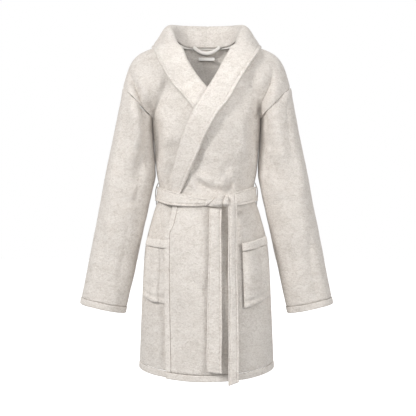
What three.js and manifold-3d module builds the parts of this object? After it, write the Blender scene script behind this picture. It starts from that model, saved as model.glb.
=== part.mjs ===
// A short plush bathrobe, worn shape, tied at the waist. Millimetres, +Z up, front faces -Y.
// +X is the wearer's left. The origin is the middle of the hanger loop inside the back neck.
import * as THREE from 'three';
import { mergeVertices } from 'three/addons/utils/BufferGeometryUtils.js';
import Module from 'manifold-3d';

const wasm = await Module();
wasm.setup();

// Cloth and clearances
const fabric = 4.5; // plush cloth, pile included
const layerGap = 1.5; // air between two layers of cloth
const seamGap = 0.3; // clearance where two sewn edges meet
const hemWidth = 18; // depth of every turned hem

// Heights are measured from the hanger loop, positive up
const neckHeight = 22;
const shoulderHeight = -75; // centre of the round shoulder
const armpitHeight = -193;
const chestHeight = -215;
const waistHeight = -400;
const hipHeight = -545;
const hemHeight = -886; // at the side seams
const hemDipFront = 19; // the hem hangs this much lower at the centre front
const hemDipBack = 6;

// Half widths and depths of the body, out from its middle
const neckHalfWidth = 88;
const neckFront = 44;
const neckBack = 70;
const chestHalfWidth = 150;
const chestFront = 114;
const chestBack = 106;
const waistHalfWidth = 131;
const waistFront = 98;
const waistBack = 88;
const hipHalfWidth = 170;
const hipFront = 118;
const hipBack = 110;
const hemHalfWidth = 188;
const hemFront = 132;
const hemBack = 122;

// Shoulders and sleeves
const shoulderHalfWidth = 156; // to the centre of the round shoulder
const shoulderRadius = 72;
const shoulderDepth = 66;
const armholeDepth = 72;
const sleeveSlope = 0.1964; // outward travel for each millimetre down
const cuffHeight = -722;
const cuffHalfWidth = 67;
const cuffDepth = 52;
const sleeveClearance = 6; // air between sleeve and body under the arm
const seamDirection = new THREE.Vector2(-0.69, -0.724).normalize(); // down the armhole seam
const seamTopDrop = 30; // the seam starts this far below the shoulder centre

// Collar
const collarRise = 60; // stand above the back neck seam
const collarFall = 80; // from the roll down the outside of the back

// Pockets
const pocketDrop = 126; // pocket mouth below the waist line
const pocketHeight = 165;
const pocketCuff = 23;
const pocketBulge = 12;
const pocketInner = 58; // degrees round from the side seam to the front edge of a pocket
const pocketOuter = 20;
const pocketHidden = 44; // the under pocket's hidden part lies flat from here

// Belt
const beltWidth = 40;
const beltThickness = 5;
const beltGap = 2.5;
const beltDip = 20; // lower at the centre front than at the sides
const beltLoopWidth = 8;
const beltLoopThickness = 1.6;
const knotWidth = 52;
const knotHeight = 34;
const knotDepth = 34;
const knotSide = 31; // the knot sits this far to the wearer's left
const shortEnd = 434;
const longEnd = 495;
const endLean = 16; // the ends slope forward this much over their length

// Small pieces at the neck
const loopHalfWidth = 38;
const loopDroop = 18;
const loopWidth = 9;
const loopThickness = 1.6;
const tapeWidth = 10;
const tapeThickness = 1.2;
const labelWidth = 46;
const labelHeight = 15;

const tapeRim = fabric + tapeThickness + 0.5; // inner face of the tape, in from the neck edge
const loopReach = (loopHalfWidth + 3) / (neckHalfWidth - tapeRim); // where the loop meets the tape
const loopInset = (neckBack - tapeRim) * Math.sqrt(1 - loopReach ** 2)
  - loopThickness / 2 - seamGap; // from the middle of the body back to the loop
const layer = fabric + layerGap;
const underRecess = 3 * layer + 1; // the under front lies this far behind the outer one

// Helpers

function smooth(edge0, edge1, value) {
  return THREE.MathUtils.smoothstep(value, Math.min(edge0, edge1), Math.max(edge0, edge1));
}

// A smooth curve through [place, value] pairs whose places rise
function curveThrough(pairs, place) {
  const last = pairs.length - 1;
  if (place <= pairs[0][0]) return pairs[0][1];
  if (place >= pairs[last][0]) return pairs[last][1];
  let i = 0;
  while (place > pairs[i + 1][0]) i += 1;
  const slope = (k) => {
    const a = pairs[Math.max(k - 1, 0)];
    const b = pairs[Math.min(k + 1, last)];
    return (b[1] - a[1]) / (b[0] - a[0]);
  };
  const [x0, y0] = pairs[i];
  const [x1, y1] = pairs[i + 1];
  const run = x1 - x0;
  const t = (place - x0) / run;
  const h = (1 - t) * (1 - t) * ((1 + 2 * t) * y0 + t * run * slope(i));
  return h + t * t * ((3 - 2 * t) * y1 - (1 - t) * run * slope(i + 1));
}

function toSolid(geometry) {
  const bare = geometry.clone();
  bare.deleteAttribute('normal');
  bare.deleteAttribute('uv');
  const merged = mergeVertices(bare, 1e-4);
  const triVerts = new Uint32Array(merged.index.array);
  const vertProperties = new Float32Array(merged.attributes.position.array);
  return new wasm.Manifold(new wasm.Mesh({ numProp: 3, vertProperties, triVerts }));
}

function toGeometry(solid) {
  const mesh = solid.getMesh();
  const geometry = new THREE.BufferGeometry();
  geometry.setAttribute('position', new THREE.BufferAttribute(mesh.vertProperties, 3));
  geometry.setIndex(new THREE.BufferAttribute(mesh.triVerts, 1));
  return geometry;
}

function indexed(points, faces) {
  const geometry = new THREE.BufferGeometry();
  geometry.setAttribute('position', new THREE.Float32BufferAttribute(points.flat(), 3));
  geometry.setIndex(faces);
  return geometry;
}

// Rings of points, lowest first, each running counter-clockwise seen from above
function loft(rings) {
  const count = rings[0].length;
  const points = rings.flat();
  const faces = [];
  for (let r = 0; r < rings.length - 1; r += 1) {
    for (let k = 0; k < count; k += 1) {
      const a = r * count + k;
      const b = r * count + ((k + 1) % count);
      faces.push(a, b, b + count, a, b + count, a + count);
    }
  }
  const top = (rings.length - 1) * count;
  for (let k = 1; k < count - 1; k += 1) {
    faces.push(0, k + 1, k, top, top + k, top + k + 1);
  }
  return toSolid(indexed(points, faces));
}

// An outline in the plane of two axes, pushed along the third from one place to another
function slab(outline, across, up, from, to) {
  const shape = new THREE.Shape(outline.map(([a, b]) => new THREE.Vector2(a, b)));
  const geometry = new THREE.ExtrudeGeometry(shape, { depth: to - from, bevelEnabled: false });
  const along = new THREE.Vector3().crossVectors(across, up);
  const turn = new THREE.Matrix4().makeBasis(across, up, along);
  geometry.translate(0, 0, from);
  geometry.applyMatrix4(turn);
  return toSolid(geometry);
}

const axisX = new THREE.Vector3(1, 0, 0);
const axisY = new THREE.Vector3(0, 1, 0);
const axisZ = new THREE.Vector3(0, 0, 1);
const far = 1300; // reaches past every part of the robe

function frontSlab(outline) {
  return slab(outline, axisX, axisZ, -far, far);
}

function sideSlab(outline) {
  return slab(outline, axisY, axisZ, -far, far);
}

// A sheet of cloth: a grid of middle points thickened to both sides
function sheet(pointAt, countU, countV, thickness, closedU = false) {
  const rows = closedU ? countU : countU + 1;
  const cols = countV + 1;
  const middle = [];
  for (let i = 0; i < rows; i += 1) {
    for (let j = 0; j < cols; j += 1) middle.push(pointAt(i / countU, j / countV));
  }
  const at = (i, j) => {
    const row = closedU ? (i + rows) % rows : THREE.MathUtils.clamp(i, 0, rows - 1);
    return middle[row * cols + THREE.MathUtils.clamp(j, 0, cols - 1)];
  };
  const points = [[], []];
  for (let i = 0; i < rows; i += 1) {
    for (let j = 0; j < cols; j += 1) {
      const alongU = at(i + 1, j).clone().sub(at(i - 1, j));
      const alongV = at(i, j + 1).clone().sub(at(i, j - 1));
      const normal = alongU.cross(alongV).setLength(thickness / 2);
      points[0].push(at(i, j).clone().add(normal).toArray());
      points[1].push(at(i, j).clone().sub(normal).toArray());
    }
  }
  const total = rows * cols;
  const faces = [];
  const quad = (a, b, c, d) => faces.push(a, b, c, a, c, d);
  const spans = closedU ? rows : rows - 1;
  for (let i = 0; i < spans; i += 1) {
    const next = ((i + 1) % rows) * cols;
    const here = i * cols;
    for (let j = 0; j < countV; j += 1) {
      quad(here + j, next + j, next + j + 1, here + j + 1);
      quad(total + here + j, total + here + j + 1, total + next + j + 1, total + next + j);
    }
    quad(here, total + here, total + next, next);
    const end = countV;
    quad(here + end, next + end, total + next + end, total + here + end);
  }
  if (!closedU) {
    const lastRow = (rows - 1) * cols;
    for (let j = 0; j < countV; j += 1) {
      quad(j, j + 1, total + j + 1, total + j);
      quad(lastRow + j, total + lastRow + j, total + lastRow + j + 1, lastRow + j + 1);
    }
  }
  return indexed(points.flat(), faces);
}

// Body form

const lowest = hemHeight - 60;
const shoulderTop = shoulderHeight + shoulderRadius;

const widths = [
  [hemHeight, hemHalfWidth], [hipHeight - 130, (hipHalfWidth + hemHalfWidth) / 2],
  [hipHeight, hipHalfWidth], [waistHeight - 60, waistHalfWidth + 18],
  [waistHeight, waistHalfWidth], [waistHeight + 60, waistHalfWidth + 9],
  [chestHeight, chestHalfWidth], [shoulderHeight, shoulderHalfWidth - 4],
  [shoulderTop - 5, shoulderHalfWidth - 16], [shoulderTop + 11, neckHalfWidth + 24],
  [neckHeight, neckHalfWidth],
];
const fronts = [
  [hemHeight, hemFront], [hipHeight, hipFront], [waistHeight, waistFront],
  [chestHeight, chestFront], [shoulderHeight, chestFront - 26],
  [shoulderTop - 5, neckFront + 14], [neckHeight, neckFront],
];
const backs = [
  [hemHeight, hemBack], [hipHeight, hipBack], [waistHeight, waistBack],
  [chestHeight, chestBack], [shoulderHeight, chestBack - 12],
  [shoulderTop - 5, neckBack + 4], [neckHeight, neckBack],
];

// A recess sinks the under front behind the outer one, and fades out over the shoulder
function recessAt(z, recess) {
  return recess * (1 - smooth(shoulderHeight - 45, shoulderHeight + 30, z));
}

function bodyAt(z, recess = 0) {
  return {
    width: curveThrough(widths, z),
    front: curveThrough(fronts, z) - recessAt(z, recess),
    back: curveThrough(backs, z),
  };
}

// The arm: outer and inner edge seen from the front, and its depth, at a height
function armAt(z) {
  const cap = z > shoulderHeight ? (z - shoulderHeight) / shoulderRadius : 0;
  const round = Math.sqrt(Math.max(1 - cap * cap, 0.0004));
  const drop = Math.max(shoulderHeight - z, 0);
  const outer = shoulderHalfWidth + shoulderRadius * round + sleeveSlope * drop;
  const nearBelt = 1 - smooth(beltWidth, 3 * beltWidth, Math.abs(z - waistHeight));
  const beltRoom = (beltGap + beltThickness + 2) * nearBelt;
  const beside = curveThrough(widths, z) + sleeveClearance + beltRoom;
  const cuffInner = shoulderHalfWidth + shoulderRadius - 2 * cuffHalfWidth;
  const hanging = cuffInner + 3 + sleeveSlope * (shoulderHeight - cuffHeight)
    + (z - cuffHeight) * -0.22;
  const lower = Math.max(beside, hanging);
  const upper = shoulderHalfWidth - shoulderRadius * round;
  const inner = THREE.MathUtils.lerp(lower, upper, smooth(armpitHeight, shoulderHeight, z));
  const depths = [
    [cuffHeight, cuffDepth], [hipHeight, cuffDepth + 8], [waistHeight + 60, cuffDepth + 14],
    [armpitHeight, armholeDepth], [shoulderHeight, shoulderDepth],
  ];
  return { outer, inner, depth: curveThrough(depths, z) * round };
}

function ringAt(z, centre, width, front, back, count) {
  const points = [];
  for (let k = 0; k < count; k += 1) {
    const angle = (2 * Math.PI * k) / count;
    const reach = Math.sin(angle) < 0 ? front : back;
    points.push([centre + width * Math.cos(angle), reach * Math.sin(angle), z]);
  }
  return points;
}

function heightsBetween(low, high, step) {
  const count = Math.ceil((high - low) / step);
  return Array.from({ length: count + 1 }, (_, k) => low + ((high - low) * k) / count);
}

const bodyHeights = [
  ...heightsBetween(lowest, waistHeight - 44, 60),
  ...heightsBetween(waistHeight - 24, waistHeight + 24, 24),
  ...heightsBetween(waistHeight + 60, shoulderHeight, 48),
  ...heightsBetween(shoulderHeight + 18, neckHeight - 3, 18), neckHeight,
];

// grow is 0 for the outer face and minus the cloth for the inner one
function torso(grow, recess) {
  const rings = bodyHeights.map((z) => {
    const at = bodyAt(z, recess);
    return ringAt(z, 0, at.width + grow, at.front + grow, at.back + grow, 34);
  });
  if (grow < 0) {
    rings.unshift(rings[0].map(([x, y, z]) => [x, y, z - 20]));
    rings.push(rings.at(-1).map(([x, y, z]) => [x, y, z + 20]));
  }
  return loft(rings);
}

const armHeights = [
  ...heightsBetween(cuffHeight - 60, armpitHeight, 84),
  ...heightsBetween(armpitHeight + 30, shoulderHeight, 30),
  ...[0.4, 0.7, 0.9, 0.98].map((share) => shoulderHeight + shoulderRadius * share),
];

function arm(grow) {
  const rings = armHeights.map((z) => {
    const inside = z > shoulderHeight ? shoulderHeight
      + (z - shoulderHeight) * ((shoulderRadius + grow) / shoulderRadius) : z;
    const at = armAt(z);
    const least = 3; // keeps the rings over the shoulder open
    const width = Math.max((at.outer - at.inner) / 2 + grow, least);
    const depth = Math.max(at.depth + grow, least);
    return ringAt(inside, (at.outer + at.inner) / 2, width, depth, depth, 22);
  });
  if (grow < 0) rings.unshift(rings[0].map(([x, y, z]) => [x, y, z - 20]));
  return loft(rings);
}

// The same solid on the other side of the robe
function mirrored(solid) {
  return solid.mirror([1, 0, 0]);
}

const armOuter = arm(0);
const armInner = arm(-fabric);

// Armhole seam, a straight cut seen from the front
const seamTop = new THREE.Vector2(
  armAt(shoulderHeight - seamTopDrop).outer + 1, shoulderHeight - seamTopDrop);
const seamNormal = new THREE.Vector2(-seamDirection.y, seamDirection.x); // towards the cuff

// All of the arm beyond the seam, moved along the sleeve by an amount
function beyondSeam(shift) {
  const start = seamTop.clone().addScaledVector(seamNormal, shift);
  const corner = (down, out) => {
    const p = start.clone().addScaledVector(seamDirection, down);
    return p.addScaledVector(seamNormal, out).toArray();
  };
  const low = chestHalfWidth - 40;
  return frontSlab([corner(-120, 0), corner(118, 0), [low, armpitHeight - 6], [low, -far],
    [far, -far], corner(-120, 500)]);
}

const sleeveZone = beyondSeam(seamGap);
const notSleeve = beyondSeam(0);

// The body below the armpit is the torso alone, so the sleeves are cut from arms only
function bodyShell(recess) {
  const stub = armOuter.subtract(notSleeve);
  const outer = torso(0, recess).add(stub).add(mirrored(stub));
  const reach = armInner.subtract(beyondSeam(3));
  const inner = torso(-fabric, recess).add(reach).add(mirrored(reach));
  return outer.subtract(inner);
}

// Hem line

function hemLine(raise) {
  const line = [];
  for (let y = -200; y <= 200; y += 25) {
    const share = y < 0 ? -y / hemFront : y / hemBack;
    const dip = (y < 0 ? hemDipFront : hemDipBack) * Math.min(share, 1.5) ** 1.5;
    line.push([y, hemHeight - dip + raise]);
  }
  return line;
}

function aboveHem(raise) {
  return sideSlab([...hemLine(raise), [200, 300], [-200, 300]]);
}

const aboveHemBand = aboveHem(hemWidth + seamGap);
const hemZone = aboveHem(0).subtract(aboveHem(hemWidth));

// Front edges

// Where each front ends, seen from the front, neck first; the roll of the collar covers it
const outerEdge = [
  [neckHalfWidth, neckHeight + 5], [74, -10], [58, -45], [31, -91], [2, -137], [-25, -180],
  [-51, -241], [-81, -340], [-89, waistHeight + 12], [-90, waistHeight - 36],
  [-100, waistHeight - 87], [-113, waistHeight - 114], [-108, hemHeight - 60],
];
const underEdge = [
  [-neckHalfWidth, neckHeight + 5], [-82, -12], [-60, -52], [-24, -102], [12, -150],
  [42, -240], [66, -340], [76, waistHeight + 12], [84, waistHeight - 87],
  [88, hemHeight - 60],
];
const bandWidth = 14; // stitched edge of each front below the belt

// Everything on one side of a front edge that is moved sideways
function beside(edge, side, shift) {
  const moved = edge.map(([x, z]) => [x + shift, z]);
  return frontSlab([...moved, [side * far, -far * 2], [side * far, neckHeight + 100],
    [edge[0][0] + shift, neckHeight + 100]]);
}

const aboveAll = 400; // clear of the collar
const frontHalf = sideSlab([[-far, -far * 2], [-seamGap / 2, -far * 2],
  [-seamGap / 2, aboveAll], [-far, aboveAll]]);
const backHalf = sideSlab([[seamGap / 2, -far * 2], [far, -far * 2], [far, aboveAll],
  [seamGap / 2, aboveAll]]);
const bandTop = waistHeight - beltWidth / 2 - beltDip - 8;
const belowBelt = sideSlab([[-far, -far * 2], [far, -far * 2], [far, bandTop], [-far, bandTop]]);
const belowBeltGap = sideSlab([[-far, -far * 2], [far, -far * 2], [far, bandTop + seamGap],
  [-far, bandTop + seamGap]]);

const outerShell = bodyShell(0);
const underShell = bodyShell(underRecess);

const backCloth = outerShell.intersect(backHalf);
const outerCloth = outerShell.intersect(frontHalf).intersect(beside(outerEdge, 1, 0));
const underCloth = underShell.intersect(frontHalf).intersect(beside(underEdge, -1, 0));
const outerInside = beside(outerEdge, 1, bandWidth);
const outerInsideGap = beside(outerEdge, 1, bandWidth + seamGap);
const underInside = beside(underEdge, -1, -bandWidth);
const underInsideGap = beside(underEdge, -1, -bandWidth - seamGap);

function withoutBand(cloth, insideGap) {
  return cloth.subtract(belowBeltGap.subtract(insideGap));
}

const backPanel = backCloth.intersect(aboveHemBand);
const outerFront = withoutBand(outerCloth, outerInsideGap).intersect(aboveHemBand);
const underFront = withoutBand(underCloth, underInsideGap).intersect(aboveHemBand);
const outerBand = outerCloth.intersect(belowBelt.subtract(outerInside)).intersect(aboveHemBand);
const underBand = underCloth.intersect(belowBelt.subtract(underInside)).intersect(aboveHemBand);
const backHem = backCloth.intersect(hemZone);
const outerHem = outerCloth.intersect(hemZone);
const underHem = underCloth.intersect(hemZone);

// Sleeves

const armAxisTop = new THREE.Vector2(shoulderHalfWidth, shoulderHeight);
const cuffCentre = (armAt(cuffHeight).outer + armAt(cuffHeight).inner) / 2;
const armAxisDown = new THREE.Vector2(cuffCentre, cuffHeight).sub(armAxisTop).normalize();

// Everything from the cuff edge upwards, raised along the sleeve
function aboveCuff(raise) {
  const centre = new THREE.Vector2(cuffCentre, cuffHeight).addScaledVector(armAxisDown, -raise);
  const across = new THREE.Vector2(-armAxisDown.y, armAxisDown.x);
  const outside = centre.clone().addScaledVector(across, 150).toArray();
  const inside = centre.clone().addScaledVector(across, -150).toArray();
  return frontSlab([inside, outside, [far, 200], [-20, 200]]);
}

const sleeveShell = armOuter.subtract(armInner).intersect(sleeveZone);
const sleeve = sleeveShell.intersect(aboveCuff(hemWidth + seamGap));
const sleeveHem = sleeveShell.intersect(aboveCuff(0).subtract(aboveCuff(hemWidth)));

// Collar

// How far forward the front surface stands at a place seen from the front
function frontAt(x, z, recess) {
  const body = bodyAt(z, recess);
  const across = Math.min(Math.abs(x) / body.width, 1);
  const chest = body.front * Math.sqrt(1 - across * across);
  const limb = armAt(z);
  const half = (limb.outer - limb.inner) / 2;
  const reach = Math.min(Math.abs(Math.abs(x) - (limb.outer + limb.inner) / 2) / half, 1);
  const sleeved = z > shoulderTop ? 0 : limb.depth * Math.sqrt(1 - reach * reach);
  return Math.max(chest, sleeved);
}

// Sections round the neck: seam, stand, roll, three places down the fall
const neckEdge = neckHeight + seamGap + 1.4;
const rollHeight = neckHeight + collarRise;
const fallHeight = rollHeight - collarFall;
const neckSections = [
  [[0, neckBack - 2, neckEdge], [0, neckBack, neckEdge + 34], [0, neckBack + 12, rollHeight],
    [0, neckBack + 21, rollHeight - 12], [0, neckBack + 28, rollHeight - 44],
    [0, neckBack + 34, fallHeight + 2]],
  [[60, 48, neckEdge], [63, 50, neckEdge + 33], [73, 58, rollHeight - 3],
    [83, 64, rollHeight - 14], [96, 72, rollHeight - 44], [113, 84, fallHeight + 4]],
  [[neckHalfWidth - 2, 0, neckEdge + 1], [89, 2, neckEdge + 24], [105, 4, rollHeight - 15],
    [118, 6, rollHeight - 23], [135, 5, rollHeight - 46], [156, 2, fallHeight + 7]],
  [[82, -42, 10], [86, -39, 22], [94, -35, 34], [107, -36, 29], [127, -38, 11], [149, -36, -5]],
];

// Roll and outer edge down each front, seen from the front
const outerCollarLine = [
  [70, -5, 140, -20], [53, -38, 120, -50], [26, -88, 88, -101], [-4, -137, 62, -149],
  [-31, -180, 34, -184], [-58, -241, -2, -247], [-75, -295, -24, -298],
  [-87, -340, -44, -342], [-93, waistHeight + 8, -66, waistHeight + 8],
];
const underCollarLine = [
  [70, -5, 140, -20], [53, -46, 122, -58], [18, -98, 94, -104], [-8, -126, 66, -136],
  [-30, -166, 31, -182], [-50, -236, 2, -250], [-64, -300, -14, -306],
  [-76, waistHeight + 8, -30, waistHeight + 8],
];

function collarGeometry(line, recess) {
  const lift = layerGap + fabric / 2;
  const columns = 6;
  const backSeam = 0.8; // half the gap between the two collars at the centre back
  const sections = neckSections.map((row) => row.map(([x, y, z]) => (
    new THREE.Vector3(Math.max(x, backSeam), y, z))));
  for (const [rollX, rollZ, edgeX, edgeZ] of line) {
    const row = [];
    const ease = 2 + 5 * smooth(-60, -20, rollZ); // looser over the shoulder
    for (let k = 0; k < columns; k += 1) {
      const share = k / (columns - 1);
      const x = THREE.MathUtils.lerp(rollX, edgeX, share);
      const z = THREE.MathUtils.lerp(rollZ, edgeZ, share);
      row.push(new THREE.Vector3(x, -(frontAt(x, z, recess) + lift + ease), z));
    }
    sections.push(row);
  }
  const runs = [];
  for (let k = 0; k < columns; k += 1) {
    runs.push(new THREE.CatmullRomCurve3(sections.map((row) => row[k]), false, 'centripetal'));
  }
  const pointAt = (u, v) => {
    const section = new THREE.CatmullRomCurve3(runs.map((run) => run.getPoint(u)), false,
      'centripetal');
    return section.getPoint(v);
  };
  return sheet(pointAt, 24, 8, fabric);
}

// Pockets

// A patch on the front, v from its mouth down; rows run from the front edge to the side
function pocketGeometry(recess, flatFrom, top, bottom, lift) {
  const rounded = (u, v) => {
    const degrees = THREE.MathUtils.lerp(pocketInner, pocketOuter, u);
    const z = THREE.MathUtils.lerp(top, bottom, v);
    const body = bodyAt(z, recess);
    const angle = THREE.MathUtils.degToRad(degrees);
    const surface = new THREE.Vector3(body.width * Math.cos(angle),
      -body.front * Math.sin(angle), z);
    const out = new THREE.Vector3(Math.cos(angle) / body.width, -Math.sin(angle) / body.front, 0);
    const start = Math.min(pocketInner, flatFrom);
    const share = THREE.MathUtils.clamp((start - degrees) / (start - pocketOuter), 0, 1);
    const depth = (pocketMouth - z) / pocketHeight;
    const open = Math.sin(Math.PI * share) ** 0.7 * (1 - smooth(0.72, 1, depth));
    return surface.addScaledVector(out.normalize(), lift + pocketBulge * open);
  };
  return sheet(rounded, 10, top - bottom > 50 ? 5 : 1, fabric);
}

const pocketMouth = waistHeight - pocketDrop;
const pocketSeam = pocketMouth - pocketCuff;
const pocketBottom = pocketMouth - pocketHeight;
const onCloth = fabric / 2 + 2 * seamGap;

// Belt

function beltHeightAt(angle) {
  const forward = Math.max(-Math.sin(angle), 0);
  return waistHeight - 2 - beltDip * forward ** 2;
}

function beltPoint(u, v) {
  const angle = 2 * Math.PI * u;
  const z = beltHeightAt(angle) + beltWidth * (0.5 - v);
  const body = bodyAt(THREE.MathUtils.clamp(z, waistHeight - 60, waistHeight + 60));
  const lift = beltGap + beltThickness / 2;
  const reach = Math.sin(angle) < 0 ? body.front : body.back;
  return new THREE.Vector3((body.width + lift) * Math.cos(angle),
    (reach + lift) * Math.sin(angle), z);
}

const beltFace = waistFront + beltGap + beltThickness + 2.6; // front of the belt at the knot
const knotCentre = new THREE.Vector3(knotSide, -(beltFace + knotDepth / 2), waistHeight - 21);

function knotGeometry() {
  const ball = new THREE.SphereGeometry(1, 16, 10);
  const place = ball.attributes.position;
  const square = (value) => Math.sign(value) * Math.abs(value) ** 0.72;
  for (let i = 0; i < place.count; i += 1) {
    const x = square(place.getX(i)) * (knotWidth / 2);
    const y = square(place.getY(i)) * (knotDepth / 2);
    const z = square(place.getZ(i)) * (knotHeight / 2);
    place.setXYZ(i, x, y, z + x * 0.12);
  }
  return ball;
}

// A hanging end: v across the width, u down its length, lying lightly in front of the robe
function endGeometry(width, length, turn) {
  const pointAt = (u, v) => {
    const across = (v - 0.5) * width;
    const twist = turn * (1 - 0.35 * u);
    return new THREE.Vector3(across * Math.cos(twist), across * Math.sin(twist) - endLean * u,
      -length * u);
  };
  return sheet(pointAt, 8, 1, beltThickness);
}

// Small pieces

function beltLoopGeometry() {
  const half = beltWidth / 2 + 20;
  const stand = beltGap + beltThickness + 6;
  const pointAt = (u, v) => {
    const z = waistHeight - 2 + half * (1 - 2 * u);
    const bulge = 1 - Math.abs(1 - 2 * u) ** 6;
    const rest = bodyAt(z).width + beltLoopThickness / 2 + 0.6;
    const x = Math.max(rest, THREE.MathUtils.lerp(rest, bodyAt(waistHeight).width + stand, bulge));
    return new THREE.Vector3(x, 10 + beltLoopWidth * (v - 0.5), z);
  };
  return sheet(pointAt, 12, 1, beltLoopThickness);
}

function tapeGeometry() {
  const rim = tapeRim - tapeThickness / 2;
  const pointAt = (u, v) => {
    const angle = THREE.MathUtils.degToRad(THREE.MathUtils.lerp(28, 152, u));
    const z = neckHeight - 1 - tapeWidth * v;
    return new THREE.Vector3((neckHalfWidth - rim) * Math.cos(angle),
      (neckBack - rim) * Math.sin(angle), z);
  };
  return sheet(pointAt, 16, 1, tapeThickness);
}

function hangerLoopGeometry() {
  const pointAt = (u, v) => {
    const across = 2 * u - 1;
    const z = -loopDroop * (1 - across * across);
    const slope = (2 * loopDroop * across) / loopHalfWidth;
    const out = new THREE.Vector2(-slope, 1).normalize().multiplyScalar(loopWidth * (0.5 - v));
    return new THREE.Vector3(loopHalfWidth * across + out.x, 0, z + out.y);
  };
  return sheet(pointAt, 16, 1, loopThickness);
}

// Assembly

const robe = new THREE.Group();
const middle = new THREE.Group(); // everything below is measured from the middle of the body
middle.position.set(0, -loopInset, 0);
robe.add(middle);

const plush = { color: 0xded8d2, roughness: 0.95, metalness: 0 };
const tapeCloth = { color: 0xe8e4df, roughness: 0.8, metalness: 0 };

function addPiece(name, geometry, finish, position = new THREE.Vector3()) {
  geometry.computeVertexNormals();
  const piece = new THREE.Mesh(geometry, new THREE.MeshStandardMaterial(finish));
  piece.name = name;
  piece.position.copy(position);
  middle.add(piece);
}

function flipped(geometry) {
  return toGeometry(mirrored(toSolid(geometry)));
}

addPiece('back_panel', toGeometry(backPanel), plush);
addPiece('front_panel_left', toGeometry(outerFront), plush);
addPiece('front_panel_right', toGeometry(underFront), plush);
addPiece('front_band_left', toGeometry(outerBand), plush);
addPiece('front_band_right', toGeometry(underBand), plush);
addPiece('hem_back', toGeometry(backHem), plush);
addPiece('hem_left', toGeometry(outerHem), plush);
addPiece('hem_right', toGeometry(underHem), plush);

addPiece('sleeve_left', toGeometry(sleeve), plush);
addPiece('sleeve_right', toGeometry(mirrored(sleeve)), plush);
addPiece('sleeve_hem_left', toGeometry(sleeveHem), plush);
addPiece('sleeve_hem_right', toGeometry(mirrored(sleeveHem)), plush);

addPiece('collar_left', collarGeometry(outerCollarLine, 0), plush);
addPiece('collar_right', flipped(collarGeometry(underCollarLine, underRecess)), plush);

const pocketRows = [
  ['pocket', pocketSeam - seamGap, pocketBottom], ['pocket_cuff', pocketMouth, pocketSeam],
];
for (const [name, top, bottom] of pocketRows) {
  const open = pocketGeometry(0, 90, top, bottom, onCloth);
  const tucked = pocketGeometry(underRecess, pocketHidden, top, bottom, onCloth);
  addPiece(`${name}_left`, open, plush);
  addPiece(`${name}_right`, flipped(tucked), plush);
}

addPiece('belt_waist', sheet(beltPoint, 48, 2, beltThickness, true), plush);
addPiece('belt_knot', knotGeometry(), plush, knotCentre);
const endTop = knotCentre.z - knotHeight / 2;
const endFace = knotCentre.y;
addPiece('belt_end_short', endGeometry(beltWidth - 4, shortEnd, 0), plush,
  new THREE.Vector3(knotSide - 7, endFace, endTop - 6));
addPiece('belt_end_long', endGeometry(beltWidth - 8, longEnd, 0.3), plush,
  new THREE.Vector3(knotSide + knotWidth / 2 + 18, endFace, knotCentre.z + 8));

addPiece('belt_loop_left', beltLoopGeometry(), plush);
addPiece('belt_loop_right', flipped(beltLoopGeometry()), plush);
addPiece('neck_tape', tapeGeometry(), tapeCloth);
addPiece('hanger_loop', hangerLoopGeometry(), tapeCloth,
  new THREE.Vector3(0, loopInset, neckHeight - 4));
const label = new THREE.BoxGeometry(labelWidth, 1, labelHeight);
addPiece('neck_label', label, tapeCloth, new THREE.Vector3(0, neckBack - fabric - 1.5, -16));

export default robe;
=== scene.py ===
import bpy
import bmesh
import math
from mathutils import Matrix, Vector, noise


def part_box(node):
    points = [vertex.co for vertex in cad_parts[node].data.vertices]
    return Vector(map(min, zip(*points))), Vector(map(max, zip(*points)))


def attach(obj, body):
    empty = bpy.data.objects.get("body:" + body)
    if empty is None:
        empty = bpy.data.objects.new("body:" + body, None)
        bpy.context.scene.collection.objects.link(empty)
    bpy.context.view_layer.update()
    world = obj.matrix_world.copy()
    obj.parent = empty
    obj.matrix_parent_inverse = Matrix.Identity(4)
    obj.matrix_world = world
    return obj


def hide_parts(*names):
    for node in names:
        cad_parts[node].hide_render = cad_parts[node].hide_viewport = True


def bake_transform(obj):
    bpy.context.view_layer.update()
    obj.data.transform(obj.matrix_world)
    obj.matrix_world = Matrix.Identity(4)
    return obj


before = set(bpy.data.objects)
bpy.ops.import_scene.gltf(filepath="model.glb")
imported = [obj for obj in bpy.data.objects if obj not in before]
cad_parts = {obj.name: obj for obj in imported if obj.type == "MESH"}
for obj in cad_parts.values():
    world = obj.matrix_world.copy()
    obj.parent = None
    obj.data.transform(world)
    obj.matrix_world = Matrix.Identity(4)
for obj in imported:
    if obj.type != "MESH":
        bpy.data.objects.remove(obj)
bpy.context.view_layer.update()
print("frame loaded")

# Places are in millimetres from the middle of the body and the hanger loop's height.
# inset is how far the loop sits behind that middle.
mm = 0.001
inset = 0.15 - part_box("back_panel")[0][1] / mm

body = {
    "widths": [(-886, 188), (-675, 179), (-545, 170), (-460, 149), (-400, 131), (-340, 140),
               (-215, 150), (-75, 152)],
    "fronts": [(-886, 132), (-545, 118), (-400, 98), (-215, 114), (-75, 92), (-20, 66), (22, 44)],
    "backs": [(-886, 122), (-545, 110), (-400, 88), (-215, 106), (-75, 96), (-20, 78), (22, 70)],
    "shoulder": [(-105, 234), (-84, 228), (-56, 219), (-42, 212), (-28, 202), (-14, 186),
                 (-4, 166), (3, 146), (9, 126), (15, 107), (22, 88)],
    "armpit": -190,
    "seamTop": (234.9, -105.0),
    "seamSlope": 0.953,
    "hem": -886,
    "dipFront": 19,
    "dipBack": 6,
    "recess": 19,
    "cloth": 5.0,
    "beltLine": -406,
    "beltPress": 17,
}

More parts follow.
